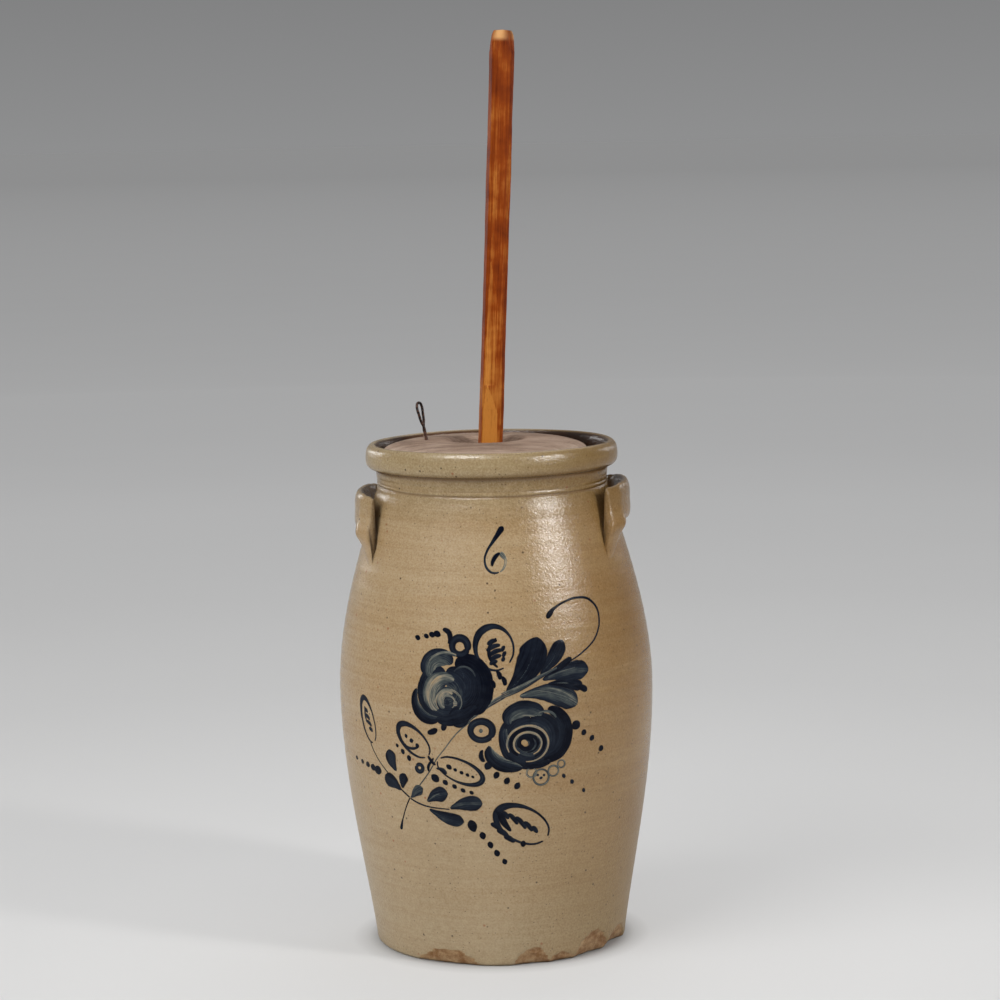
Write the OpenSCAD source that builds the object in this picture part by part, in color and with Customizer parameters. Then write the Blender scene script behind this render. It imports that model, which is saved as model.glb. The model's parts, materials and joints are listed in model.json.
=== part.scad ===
// Stoneware dasher churn: a thrown crock with two lug handles, a turned wooden lid with a wire
// lifting eye, and a hewn staff that carries a halved wooden cross.
// The origin is the centre of the crock's foot, on the surface it stands on. +Z is up.

/* [Crock] */
// Height from the foot to the crest of the rim
crock_h = 483; // [450:1:520]
// Radius at the foot
foot_r = 120.6; // [112:0.1:126]
// Greatest radius of the body
belly_r = 151.2; // [145:0.1:160]
// Height of the greatest radius
belly_z = 250; // [220:1:280]
// Radius of the neck, under the rim
neck_r = 110.6; // [108:0.1:114]
// Radius of the rolled rim
rim_r = 120.4; // [118:0.1:124]
// Thickness of the thrown wall
wall = 11; // [8:0.5:13]
// Thickness of the floor
floor_t = 14; // [10:1:18]

/* [Lug handles] */
// Angle that the pair of handles is turned about the crock's axis
lug_turn = -3; // [-10:1:10]
// Height of the strap's top edge, on the right handle
lug_top_z = 445; // [440:1:447]
// Width of the strap in the middle, from its top edge to its lower edge
lug_w = 37; // [32:1:39]
// Thickness of the strap
lug_t = 9.5; // [8:0.5:11]
// How much lower the left handle is set than the right one
lug_drop = 6; // [0:1:8]

/* [Lid] */
// Radius of the lid's flange
lid_r = 100; // [97:0.5:102]
// Radius of the plug that drops into the throat
plug_r = 81.5; // [78:0.5:82]
// Radius of the hole for the staff
hole_r = 19.2; // [19:0.1:22]
// How far the lid sits off the crock's axis
lid_x = -6.3; // [-6.5:0.1:0]

/* [Dasher] */
// Length of the staff
staff_l = 854; // [820:1:900]
// Width of the staff across its broad faces
staff_w = 22; // [20:0.5:22]
// Lean of the staff from upright, in degrees
lean = 2.885; // [2.5:0.005:3]
// Length of each cross arm, end to end
cross_l = 150; // [130:1:155]
// Width of each cross arm
arm_w = 40; // [34:1:44]
// Thickness of each cross arm
arm_t = 18; // [16:1:20]

/* [Hidden] */
$fn = 96;

// The crock's profile, worked out upwards from the foot.
collar_z = crock_h - 41;            // groove where the shoulder meets the neck
band_z = crock_h - 22;              // underside of the rolled rim
seat_z = crock_h - 17;              // gallery that the lid's flange rests on
throat_r = 89;                      // inside radius of the gallery
seat_r = 109;                       // inside radius of the rim above the gallery
groove_d = 1.2;                     // depth of the collar groove
fillet_r = 16;                      // inside corner of the floor
foot_edge = 3;                      // worn edge of the foot
lower_fullness = 1.16;              // above 1 keeps the lower body slim near the foot
shoulder_rise = 1.85;               // how late the shoulder starts to draw in
shoulder_turn = 1.3;                // how softly the shoulder runs into the neck

// The staff's axis leans towards +X and stands on the crock's floor.
rest_gap = 0.5;
foot_x = -24;
foot_z = floor_t + rest_gap + cross_l / 2 * sin(lean);
chamfer_w = 25.5;                   // width across the staff's chamfered corners
staff_turn = 12;                    // turn of the staff's faces about its own axis
tenon_r = 9;
wedge_l = 15;
wedge_top = 1;
wedge_foot = 3.4;
peg_r = 2.5;
peg_at = 13.5;                      // pegs stand this far each way from the staff's axis
vent_r = 8;                         // holes bored through the cross arms
vent_at = 48;

// The lid's faces.
plug_z = seat_z - 10;
edge_z = seat_z + 8;                // top of the flange's edge
ridge_z = crock_h + 2;              // ring round the splash dish
ridge_r = 42;
dish_z = crock_h - 7;               // lowest part of the splash dish, at the hole

// The wire eye, in its own frame: its foot on the lid's top, its plane turned and tipped.
wire_r = 1.0;
wire_clear = 0.2;
wire_x = -55.3;                     // from the lid's axis
wire_lean = -11;
wire_turn = 58;
wire_gap = 2.3;                     // distance between the two legs
eye_r = 6.2;
eye_z = 31;                         // height of the eye's centre over the lid
clinch_l = 9;

clay = [0.74, 0.64, 0.46];
lid_wood = [0.56, 0.48, 0.43];
staff_wood = [0.70, 0.36, 0.14];
inner_wood = [0.66, 0.52, 0.36];
iron = [0.16, 0.14, 0.13];

function lower_r(z) = foot_r + (belly_r - foot_r) * sin(90 * pow(z / belly_z, lower_fullness));
function upper_r(z) =
    let (t = (z - belly_z) / (collar_z - belly_z), edge = neck_r + groove_d)
    belly_r - (belly_r - edge) * (1 - pow(max(0, 1 - pow(t, shoulder_rise)), shoulder_turn));
function wall_r(z) = z <= belly_z ? lower_r(z) : z < collar_z ? upper_r(z) : neck_r;
function arc(cx, cy, r, a0, a1, n) = [for (i = [0:n]) let (a = a0 + (a1 - a0) * i / n)
    [cx + r * cos(a), cy + r * sin(a)]];

outer_profile = concat(
    [[foot_r - foot_edge, 0]],
    [for (z = [foot_edge, 20, 50, 85, 120, 160, 205]) [lower_r(z), z]],
    [for (i = [0:9]) let (z = belly_z + (collar_z - belly_z) * i / 9) [upper_r(z), z]],
    [[neck_r - groove_d, collar_z + 1.5], [neck_r, collar_z + 3], [neck_r, band_z - 6]],
    [[rim_r - 6, band_z - 2], [rim_r - 1, band_z + 2], [rim_r, band_z + 8]],
    arc(rim_r - 5, crock_h - 5, 5, 0, 90, 3));

inner_profile = concat(
    arc(seat_r + 4, crock_h - 4, 4, 90, 180, 3),
    [[seat_r, seat_z], [throat_r, seat_z], [throat_r, seat_z - 12]],
    [for (z = [collar_z - 8, 405, 365, 325, 290, 250, 205, 160, 115, 75, 45]) [wall_r(z) - wall, z]],
    arc(wall_r(30) - wall - fillet_r, floor_t + fillet_r, fillet_r, 0, -90, 4),
    [[0, floor_t], [0, 0]]);

module crock() {
    color(clay)
        rotate_extrude()
            polygon(concat(outer_profile, inner_profile));
}

// A lug handle is an upright strap bent round the shoulder. Its middle stands clear of the wall,
// and its two ends run down as legs until the widening wall takes them in.
lug_half = 65;                      // half the handle's length round the wall, at its legs
lug_gap = 11.8;                     // clear space between the neck and the strap's top edge
lug_leg = 40;                       // how far the legs reach below the strap's middle
lug_skew = 0.10;                    // how much shorter the top edge is than the span of the legs
lug_rings = 36;
lug_sides = 16;
function ease(x) = let (c = min(1, max(0, x))) c * c * (3 - 2 * c);
function soft(x) = sign(x) * pow(abs(x), 0.75);
function lug_span(a, top) =         // upper and lower edge at the share a of the half length
    [top - 2.5 * pow(a, 6), top - lug_w - lug_leg * ease((a - 0.47) / 0.53)];
function lug_half_t(a, z, top) =
    lug_t / 2 * (1 - 0.12 * a * a - 0.35 * ease((top - 40 - z) / 45)) *
    sqrt(1 - pow(max(0, a - 0.9) / 0.13, 2));
function lug_r(z, top) = neck_r + lug_gap + lug_t / 2 + 0.04 * (top - z) - 0.08 * max(0, top - 40 - z);
function lug_angle(u, z, top) =
    u * lug_half / 120 * 180 / PI * (1 - lug_skew * ease((z - top + 47) / 22) * pow(abs(u), 1.5));
function lug_ring(u, top) =
    let (span = lug_span(abs(u), top), mid = (span[0] + span[1]) / 2, half = (span[0] - span[1]) / 2)
    [for (i = [0:lug_sides - 1]) let (turn = 360 * i / lug_sides, z = mid + half * soft(cos(turn)),
        r = lug_r(z, top) + lug_half_t(abs(u), z, top) * soft(sin(turn)), a = lug_angle(u, z, top))
        [r * cos(a), r * sin(a), z]];

function unit(v) = v / norm(v);

// Faces of a tube of rings laid end to end, closed at both ends.
function tube_faces(rings, sides) = concat(
    [[for (i = [0:sides - 1]) i]],
    [for (k = [0:rings - 2]) for (i = [0:sides - 1])
        [k * sides + i, (k + 1) * sides + i, (k + 1) * sides + (i + 1) % sides, k * sides + (i + 1) % sides]],
    [[for (i = [sides - 1:-1:0]) (rings - 1) * sides + i]]);

module lug_handle(top) {
    points = [for (k = [0:lug_rings]) each lug_ring(-1 + 2 * k / lug_rings, top)];
    color(clay)
        polyhedron(points, tube_faces(lug_rings + 1, lug_sides));
}

module right_lug_handle() {
    rotate(lug_turn)
        lug_handle(lug_top_z);
}

module left_lug_handle() {
    rotate(180 + lug_turn)
        lug_handle(lug_top_z - lug_drop);
}

// The lid is turned from one board: a domed top with a splash dish round the hole, a thin flange
// and a plug.
dome = [for (i = [0:6]) let (t = i / 6)
    [lid_r - 2 - (lid_r - 2 - ridge_r) * t, edge_z + (ridge_z - edge_z) * sqrt(1 - pow(1 - t, 2.4))]];
dish = [for (i = [1:4]) let (t = i / 4)
    [ridge_r - (ridge_r - hole_r - 1) * t, ridge_z - (ridge_z - dish_z) * (1 - cos(180 * t)) / 2]];
lid_profile = concat([[hole_r, plug_z], [plug_r, plug_z], [plug_r, seat_z], [lid_r, seat_z],
                      [lid_r, edge_z - 2]], dome, dish, [[hole_r, dish_z - 1]]);

function wire_top_z() = ridge_z - 1.2;      // the dome's height where the wire goes in

module at_wire() {
    translate([lid_x + wire_x, 0, wire_top_z()])
        rotate([0, wire_lean, 0])
            rotate(wire_turn)
                children();
}

module lid() {
    color(lid_wood)
        difference() {
            translate([lid_x, 0, 0])
                rotate_extrude()
                    polygon(lid_profile);
            at_wire()
                for (side = [-1, 1])
                    translate([side * wire_gap / 2, 0, -45])
                        cylinder(r = wire_r + wire_clear, h = 60, $fn = 24);
        }
}

// The wire's centreline, in the eye's plane: up one leg, over the eye and down the other, with
// both tails bent outwards under the lid.
tail_z = -(wire_top_z() - plug_z) / cos(wire_lean) - wire_r - 1.6;
wire_half = concat(
    [[wire_gap / 2 + clinch_l, tail_z - 0.5]],
    arc(wire_gap / 2 + 2.5, tail_z + 2.5, 2.5, 270, 180, 4),
    [[wire_gap / 2, -14], [wire_gap / 2, 0], [wire_gap / 2, 13], [wire_gap / 2 + 0.6, 18]],
    arc(0, eye_z, eye_r, -35, 90, 9));
function mirrored(line) = [for (i = [len(line) - 2:-1:0]) [-line[i][0], line[i][1]]];
wire_line = concat(wire_half, mirrored(wire_half));
wire_sides = 8;
function wire_ring(i) =
    let (n = len(wire_line), a = wire_line[max(0, i - 1)], b = wire_line[min(n - 1, i + 1)],
         t = unit(b - a), q = wire_line[i])
    [for (k = [0:wire_sides - 1]) let (w = 360 * k / wire_sides)
        [q[0] - t[1] * wire_r * cos(w), wire_r * sin(w), q[1] + t[0] * wire_r * cos(w)]];

module lid_lift_wire() {
    color(iron)
        at_wire()
            polyhedron([for (i = [0:len(wire_line) - 1]) each wire_ring(i)],
                       tube_faces(len(wire_line), wire_sides));
}

// Everything on the dasher is drawn upright on its foot, then leaned.
module leaned() {
    translate([foot_x, 0, foot_z])
        rotate([0, lean, 0])
            children();
}

module staff_section() {
    rotate(staff_turn)
        intersection() {
            square(staff_w, center = true);
            rotate(45)
                square(chamfer_w, center = true);
        }
}

module wedge_shape(extra = 0) {
    rotate([90, 0, 0])
        linear_extrude(2 * tenon_r + extra, center = true)
            polygon([[-wedge_foot / 2, 0], [wedge_foot / 2, 0], [wedge_top / 2, wedge_l], [-wedge_top / 2, wedge_l]]);
}

module dasher_staff() {
    top_r = staff_w / 2 - 2.5;
    color(staff_wood)
        leaned()
            difference() {
                union() {
                    intersection() {
                        translate([0, 0, arm_t])
                            linear_extrude(staff_l - arm_t)
                                staff_section();
                        rotate_extrude()
                            polygon([[0, arm_t], [staff_w, arm_t], [staff_w, staff_l - 21], [top_r, staff_l], [0, staff_l]]);
                    }
                    cylinder(r = tenon_r, h = arm_t + 1);
                }
                wedge_shape(2);
            }
}

module arm_blank() {
    difference() {
        intersection() {
            translate([-cross_l / 2, -arm_w / 2, 0])
                cube([cross_l, arm_w, arm_t]);
            cylinder(r = cross_l / 2, h = arm_t);
        }
        translate([0, 0, -1])
            cylinder(r = tenon_r, h = arm_t + 2);
        for (x = [-vent_at, vent_at])
            translate([x, 0, -1])
                cylinder(r = vent_r, h = arm_t + 2);
    }
}

module peg_places() {
    for (s = [-1, 1])
        translate([s * peg_at, s * peg_at, 0])
            children();
}

module peg_holes() {
    peg_places()
        translate([0, 0, -1])
            cylinder(r = peg_r, h = arm_t + 2);
}

module lap(z) {
    translate([-arm_w / 2, -arm_w / 2 - 1, z])
        cube([arm_w, arm_w + 2, arm_t / 2 + 1]);
}

module cross_arm_lower() {
    color(inner_wood)
        leaned()
            difference() {
                arm_blank();
                lap(arm_t / 2);
                peg_holes();
            }
}

module cross_arm_upper() {
    color(inner_wood)
        leaned()
            difference() {
                rotate(90)
                    difference() {
                        arm_blank();
                        lap(-1);
                    }
                peg_holes();
            }
}

module tenon_wedge() {
    color(inner_wood)
        leaned()
            intersection() {
                wedge_shape();
                cylinder(r = tenon_r, h = wedge_l);
            }
}

module lap_pegs() {
    color(staff_wood)
        leaned()
            peg_places()
                cylinder(r = peg_r, h = arm_t);
}

crock();
left_lug_handle();
right_lug_handle();
lid();
lid_lift_wire();
dasher_staff();
cross_arm_lower();
cross_arm_upper();
tenon_wedge();
lap_pegs();
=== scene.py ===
import json
import math

import bmesh
import bpy
import numpy as np
from mathutils import Matrix, Vector


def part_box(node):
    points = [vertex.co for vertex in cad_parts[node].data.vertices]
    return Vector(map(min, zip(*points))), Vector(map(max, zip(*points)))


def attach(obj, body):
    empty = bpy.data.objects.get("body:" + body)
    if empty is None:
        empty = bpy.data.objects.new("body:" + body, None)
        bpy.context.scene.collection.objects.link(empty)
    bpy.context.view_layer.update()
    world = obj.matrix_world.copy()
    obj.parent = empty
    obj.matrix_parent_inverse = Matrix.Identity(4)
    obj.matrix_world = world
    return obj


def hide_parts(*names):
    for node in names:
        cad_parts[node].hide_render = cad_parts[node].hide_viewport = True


# A salt-glazed stoneware dasher churn: crock, lid and plunging staff, painted in cobalt slip.
# Lengths are in millimetres, in the frame's own axes, until mesh_object() turns them into metres.
# Azimuth is measured about +Z from the painted front (-Y) towards the right lug (+X).

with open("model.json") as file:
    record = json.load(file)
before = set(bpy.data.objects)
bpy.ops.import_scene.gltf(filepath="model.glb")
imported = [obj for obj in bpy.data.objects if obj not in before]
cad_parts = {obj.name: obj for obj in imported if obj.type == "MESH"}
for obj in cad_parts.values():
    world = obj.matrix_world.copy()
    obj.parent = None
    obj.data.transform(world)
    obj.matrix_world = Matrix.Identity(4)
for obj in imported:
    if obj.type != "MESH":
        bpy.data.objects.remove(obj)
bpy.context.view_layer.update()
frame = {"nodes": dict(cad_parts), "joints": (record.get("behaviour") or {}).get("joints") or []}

MM = 0.001
TURN = 2 * math.pi
rng = np.random.default_rng(6)


def box_mm(node):
    """Lowest and highest corner of a CAD node, in millimetres."""
    low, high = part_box(node)
    return low / MM, high / MM


# ---------------------------------------------------------------- sizes

crock_high = box_mm("crock")[1]
CROCK_H = crock_high.z
BELLY_R = crock_high.x
BELLY_Z = 250.0
FOOT_R = BELLY_R - 30.6
NECK_R = BELLY_R - 40.6
NECK_EDGE_R = NECK_R + 1.2
RIM_R = BELLY_R - 30.8
COLLAR_Z = CROCK_H - 41
SEAT_Z = CROCK_H - 17
SEAT_R = 109.0
THROAT_R = 89.0
WALL = 11.0
FLOOR_T = 14.0
LOWER_FULLNESS = 1.16
SHOULDER_RISE = 1.85
SHOULDER_TURN = 1.3

slide_axis = Vector(next(j["axis"] for j in frame["joints"] if j["name"] == "dasher_plunge"))
LEAN = math.atan2(slide_axis.x, slide_axis.z)


# ---------------------------------------------------------------- mesh helpers

def smooth(x):
    x = np.clip(x, 0.0, 1.0)
    return x * x * (3 - 2 * x)


def unit(v):
    return v / np.maximum(np.linalg.norm(v, axis=-1, keepdims=True), 1e-9)


def catmull(points, count):
    """A smooth line of count points through the given ones; each point may hold any number of values."""
    p = np.asarray(points, float)
    p = np.vstack([2 * p[0] - p[1], p, 2 * p[-1] - p[-2]])
    at = np.linspace(0, len(p) - 3 - 1e-9, count)
    k = at.astype(int)
    t = (at - k)[:, None]
    a, b, c, d = p[k], p[k + 1], p[k + 2], p[k + 3]
    return 0.5 * (2 * b + (c - a) * t + (2 * a - 5 * b + 4 * c - d) * t**2 + (3 * b - a - 3 * c + d) * t**3)


def grid_faces(rows, cols, wrap=True, start=0):
    """Quads of a grid of points laid out row by row; wrap joins the last column to the first."""
    r, c = np.meshgrid(np.arange(rows - 1), np.arange(cols if wrap else cols - 1), indexing="ij")
    n = (c + 1) % cols
    quads = np.stack([r * cols + c, r * cols + n, (r + 1) * cols + n, (r + 1) * cols + c], axis=-1)
    return (quads.reshape(-1, 4) + start).tolist()


def mesh_object(name, points, faces, material, body, replaces=None, attributes=None):
    """Makes one piece of the object from points in millimetres, and rides it on its body."""
    mesh = bpy.data.meshes.new(name)
    mesh.from_pydata((np.asarray(points, float) * MM).tolist(), [], faces)
    for key, values in (attributes or {}).items():
        mesh.attributes.new(key, "FLOAT", "POINT").data.foreach_set("value",
                                                                    np.asarray(values, np.float32).ravel())
    shape = bmesh.new()
    shape.from_mesh(mesh)
    bmesh.ops.recalc_face_normals(shape, faces=shape.faces)
    shape.to_mesh(mesh)
    shape.free()
    mesh.polygons.foreach_set("use_smooth", [True] * len(mesh.polygons))
    mesh.materials.append(material)
    piece = bpy.data.objects.new(name, mesh)
    bpy.context.scene.collection.objects.link(piece)
    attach(piece, body)
    if replaces:
        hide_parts(replaces)
    return piece


def noise_field(seed, waves, reach):
    """A smooth random function of azimuth and height, the same all the way round."""
    source = np.random.default_rng(seed)
    turns = source.integers(-reach[0], reach[0] + 1, waves)
    rises = source.normal(0, 1, waves) * TURN / reach[1]
    starts = source.uniform(0, TURN, waves)
    sizes = source.uniform(0.5, 1.0, waves)
    scale = 1 / np.sqrt((sizes**2).sum() / 2)

    def field(azimuth, height):
        total = 0.0
        for n, k, start, size in zip(turns, rises, starts, sizes):
            total = total + size * np.sin(n * azimuth + k * height + start)
        return total * scale * 0.5
    return field


# ---------------------------------------------------------------- material helpers

class Nodes:
    """Short calls for building one material's node tree."""

    def __init__(self, name):
        self.material = bpy.data.materials.new(name)
        self.material.use_nodes = True
        self.tree = self.material.node_tree
        self.tree.nodes.clear()

    def add(self, kind, inputs=None, **settings):
        node = self.tree.nodes.new(kind)
        for key, value in settings.items():
            setattr(node, key, value)
        for key, value in (inputs or {}).items():
            self.put(node.inputs[key], value)
        return node

    def put(self, socket, value):
        if isinstance(value, bpy.types.NodeSocket):
            self.tree.links.new(value, socket)
        elif isinstance(value, tuple) and socket.type == "RGBA":
            socket.default_value = (*value[:3], 1)
        else:
            socket.default_value = value

    def position(self, scale=(1, 1, 1), tilt=0.0):
        """Object coordinates in metres, turned about Y and scaled."""
        coords = self.add("ShaderNodeTexCoord").outputs["Object"]
        turned = self.add("ShaderNodeMapping", {"Vector": coords, "Rotation": (0, -tilt, 0)})
        return self.add("ShaderNodeMapping", {"Vector": turned.outputs[0], "Scale": scale}).outputs[0]

    def noise(self, vector, scale, detail=3.0, roughness=0.55, distortion=0.0):
        return self.add("ShaderNodeTexNoise", {"Vector": vector, "Scale": scale, "Detail": detail,
                                               "Roughness": roughness,
                                               "Distortion": distortion}).outputs["Fac"]

    def range(self, value, low, high, to_low=0.0, to_high=1.0):
        return self.add("ShaderNodeMapRange", {"Value": value, "From Min": low, "From Max": high,
                                               "To Min": to_low, "To Max": to_high}).outputs[0]

    def math(self, operation, a, b=0.0, clamp=False):
        return self.add("ShaderNodeMath", {0: a, 1: b}, operation=operation, use_clamp=clamp).outputs[0]

    def mix(self, amount, a, b, blend="MIX"):
        node = self.add("ShaderNodeMix", {0: amount}, data_type="RGBA", blend_type=blend)
        self.put(node.inputs[6], a)
        self.put(node.inputs[7], b)
        return node.outputs[2]

    def ramp(self, amount, stops):
        node = self.add("ShaderNodeValToRGB", {"Fac": amount})
        band = node.color_ramp
        while len(band.elements) < len(stops):
            band.elements.new(0.5)
        for element, (place, colour) in zip(band.elements, stops):
            element.position = place
            element.color = (*colour, 1)
        return node.outputs["Color"]

    def attribute(self, name):
        return self.add("ShaderNodeAttribute", attribute_name=name).outputs["Fac"]

    def height(self):
        """Height above the floor in metres."""
        coords = self.add("ShaderNodeTexCoord").outputs["Object"]
        return self.add("ShaderNodeSeparateXYZ", {0: coords}).outputs["Z"]

    def bump(self, height, distance, strength):
        inputs = {"Height": height, "Distance": distance, "Strength": strength}
        return self.add("ShaderNodeBump", inputs).outputs[0]

    def finish(self, **inputs):
        shader = self.add("ShaderNodeBsdfPrincipled", {key.replace("_", " "): v for key, v in inputs.items()})
        output = self.add("ShaderNodeOutputMaterial")
        self.tree.links.new(shader.outputs[0], output.inputs[0])
        return self.material


# ---------------------------------------------------------------- stoneware material

CLAY_PALE = (0.385, 0.280, 0.158)
CLAY_WARM = (0.305, 0.180, 0.068)
CLAY_OLIVE = (0.215, 0.152, 0.066)
CLAY_GREY = (0.33, 0.262, 0.160)
CLAY_RAW = (0.20, 0.095, 0.034)
# Dark warm tint that paints shade on the crock's right side
RIGHT_SIDE_SHADE_TINT = (0.66, 0.55, 0.34)
# Dark brown of the painted shade in the neck ring's groove, under the rim and inside the lugs
CREASE_SHADE_BROWN = (0.12, 0.06, 0.024)
SPECK_DARK = (0.045, 0.022, 0.012)
SPECK_RED = (0.26, 0.085, 0.03)
SLIP_BROWN = (0.075, 0.030, 0.012)
SLIP_DARK = (0.020, 0.010, 0.006)


def specks(n, scale, share, size, seed_shift):
    """One where a small round speck lies, and zero elsewhere."""
    where = n.add("ShaderNodeMapping", {"Vector": n.position(), "Location": (seed_shift, 0, 0)}).outputs[0]
    cells = n.add("ShaderNodeTexVoronoi", {"Vector": where, "Scale": scale, "Randomness": 1.0})
    chosen = n.math("LESS_THAN", n.add("ShaderNodeSeparateColor", {0: cells.outputs["Color"]}).outputs[0],
                    share)
    near = n.range(cells.outputs["Distance"], size, size * 0.45)
    return n.math("MULTIPLY", chosen, near)


def salt_glaze(n):
    """Colour and surface height of the salt-glazed clay, a function of place alone."""
    place = n.position()
    banded = n.position((5, 5, 70))
    height = n.height()
    clouds = n.noise(place, 7.0, 3.0, 0.55)
    bands = n.noise(banded, 1.0, 4.0, 0.6)
    mottle = n.noise(place, 130.0, 3.0, 0.6)
    grain = n.noise(place, 560.0, 3.0, 0.7)
    side = n.add("ShaderNodeSeparateXYZ", {0: place}).outputs["X"]
    # Warmer towards the right side (+X): a warm tone that also paints shade on that side.
    warm_tone_and_right_shade = n.math("ADD", n.range(clouds, 0.35, 0.7, 0.0, 0.45), n.range(side, -0.02, 0.15, 0.0, 0.55))
    warm_tone_and_right_shade = n.math("ADD", warm_tone_and_right_shade, n.range(bands, 0.35, 0.68, -0.22, 0.3), clamp=True)
    colour = n.mix(warm_tone_and_right_shade, CLAY_PALE, CLAY_WARM)
    low_grey = n.math("MULTIPLY", n.range(height, 0.20, 0.03), n.range(clouds, 0.3, 0.65, 0.35, 0.9))
    colour = n.mix(low_grey, colour, CLAY_GREY)
    neck = n.math("MULTIPLY", n.range(height, 0.405, 0.452), n.range(mottle, 0.3, 0.7, 0.6, 1.0))
    colour = n.mix(neck, colour, CLAY_OLIVE)
    colour = n.mix(n.range(height, 0.459, 0.464, 0.0, 0.8), colour, (0.30, 0.228, 0.118))
    wiped = n.noise(n.position((7, 7, 330)), 1.0, 4.0, 0.65)
    colour = n.mix(n.range(wiped, 0.42, 0.68, 0.0, 0.50), colour, n.mix(0.5, colour, (0.22, 0.12, 0.04)))
    colour = n.mix(n.range(wiped, 0.42, 0.26, 0.0, 0.35), colour, n.mix(0.5, colour, (0.48, 0.37, 0.23)))
    colour = n.mix(n.range(mottle, 0.38, 0.66, 0.0, 0.40), colour, n.mix(0.5, colour, (0.22, 0.13, 0.055)))
    colour = n.mix(n.range(grain, 0.42, 0.66, 0.0, 0.50), colour, n.mix(0.5, colour, (0.55, 0.44, 0.29)))
    colour = n.mix(n.range(grain, 0.48, 0.30, 0.0, 0.62), colour, n.mix(0.5, colour, (0.24, 0.15, 0.07)))
    colour = n.mix(n.math("MULTIPLY", specks(n, 150.0, 0.10, 0.20, 0.0), 0.85), colour, SPECK_DARK)
    colour = n.mix(n.math("MULTIPLY", specks(n, 95.0, 0.10, 0.15, 3.7), 0.75), colour, SPECK_RED)
    colour = n.mix(n.math("MULTIPLY", specks(n, 330.0, 0.16, 0.26, 7.1), 0.6), colour, SPECK_DARK)
    # Painted shade: the right side (+X) is multiplied by a dark warm tint, fully from 125 mm out.
    right_shade = n.math("MULTIPLY", n.range(side, -0.005, 0.125), n.range(clouds, 0.3, 0.7, 0.8, 1.0))
    colour = n.mix(right_shade, colour, RIGHT_SIDE_SHADE_TINT, "MULTIPLY")
    # Painted shade: a further warm darkening on the right of the neck and rim.
    upper_right_shade = n.math("MULTIPLY", n.range(side, 0.03, 0.11), n.range(height, 0.425, 0.455))
    colour = n.mix(upper_right_shade, colour, (0.80, 0.70, 0.48), "MULTIPLY")
    peel = n.noise(place, 520.0, 3.0, 0.6)
    soft = n.noise(place, 170.0, 2.0, 0.5)
    surface = n.math("ADD", n.math("MULTIPLY", peel, 1.25), n.math("MULTIPLY", soft, 1.0))
    surface = n.math("ADD", surface,
                     n.math("MULTIPLY", n.noise(n.position((30, 30, 380)), 1.0, 2.0, 0.6), 0.30))
    return colour, surface, clouds


def stoneware_material():
    n = Nodes("stoneware")
    colour, surface, clouds = salt_glaze(n)
    # Painted shade: the line attribute darkens the scored neck ring's groove, the undercut below the rim and
    # the lugs' inner faces.
    line = n.attribute("line")
    colour = n.mix(line, colour, CREASE_SHADE_BROWN)
    chip = n.attribute("chip")
    broken = n.noise(n.position(), 90.0, 5.0, 0.7)
    raw = n.mix(n.range(broken, 0.38, 0.62), CLAY_RAW, (0.38, 0.25, 0.13))
    colour = n.mix(n.range(chip, 0.25, 0.7), colour, raw)
    slip = n.attribute("slip")
    pool = n.noise(n.position((9, 9, 26)), 1.0, 4.0, 0.6)
    brown = n.mix(n.range(pool, 0.40, 0.62), SLIP_BROWN, SLIP_DARK)
    colour = n.mix(slip, colour, brown)
    matte = n.math("ADD", n.range(n.height(), 0.20, 0.03, 0.0, 0.20), n.range(clouds, 0.3, 0.7, 0.19, 0.27))
    matte = n.math("ADD", matte, n.math("MULTIPLY", chip, 0.4))
    surface = n.math("ADD", surface, n.math("MULTIPLY", n.math("MULTIPLY", broken, chip), 3.0))
    return n.finish(Base_Color=colour, Roughness=matte,
                    IOR=n.math("SUBTRACT", 1.5, n.math("MULTIPLY", slip, 0.2)),
                    Normal=n.bump(surface, 0.0004, 0.75))


def cobalt_material():
    """Cobalt slip under the same glaze: dense and near black where it is thick, slate where it is thin."""
    n = Nodes("cobalt slip")
    colour, surface, clouds = salt_glaze(n)
    load, along, across = n.attribute("load"), n.attribute("along"), n.attribute("across")
    bristle = n.add("ShaderNodeCombineXYZ", {0: n.math("MULTIPLY", across, 1.15),
                                             1: n.math("MULTIPLY", along, 0.045),
                                             2: n.attribute("stroke")}).outputs[0]
    streaks = n.noise(bristle, 1.0, 3.0, 0.6)
    blots = n.noise(n.position(), 90.0, 3.0, 0.6)
    reach = n.range(load, 0.95, 0.5, 0.10, 0.19)
    dense = n.math("ADD", load, n.math("MULTIPLY", n.range(streaks, 0.3, 0.7, -1.0, 1.0), reach))
    dense = n.math("ADD", dense, n.range(blots, 0.3, 0.7, -0.08, 0.08), clamp=True)
    blue = n.ramp(dense, [(0.0, (0.33, 0.27, 0.18)), (0.2, (0.215, 0.205, 0.165)),
                          (0.42, (0.058, 0.069, 0.069)),
                          (0.66, (0.0125, 0.0175, 0.028)), (1.0, (0.002, 0.003, 0.0075))])
    cover = n.range(dense, 0.0, 0.28)
    colour = n.mix(n.math("MULTIPLY", cover, n.attribute("cover")), colour, blue)
    return n.finish(Base_Color=colour, Roughness=n.range(clouds, 0.3, 0.7, 0.20, 0.28), IOR=1.17,
                    Normal=n.bump(surface, 0.0004, 0.45))


# ---------------------------------------------------------------- crock

ring_wander = noise_field(11, 10, (4, 160.0))
chip_edge = noise_field(12, 14, (60, 9.0))
chip_rough = noise_field(13, 24, (130, 7.0))

# The foot's chips: azimuth of the middle and half width in degrees, height and depth in millimetres.
CHIPS = [(-25, 17, 16, 4.0), (14, 9, 18, 4.8), (28, 9, 9, 3.5), (46, 12, 25, 6.8), (66, 12, 19, 8.6),
         (118, 7, 9, 4.0), (-141, 9, 12, 4.5), (171, 6, 7, 3.0)]


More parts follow.
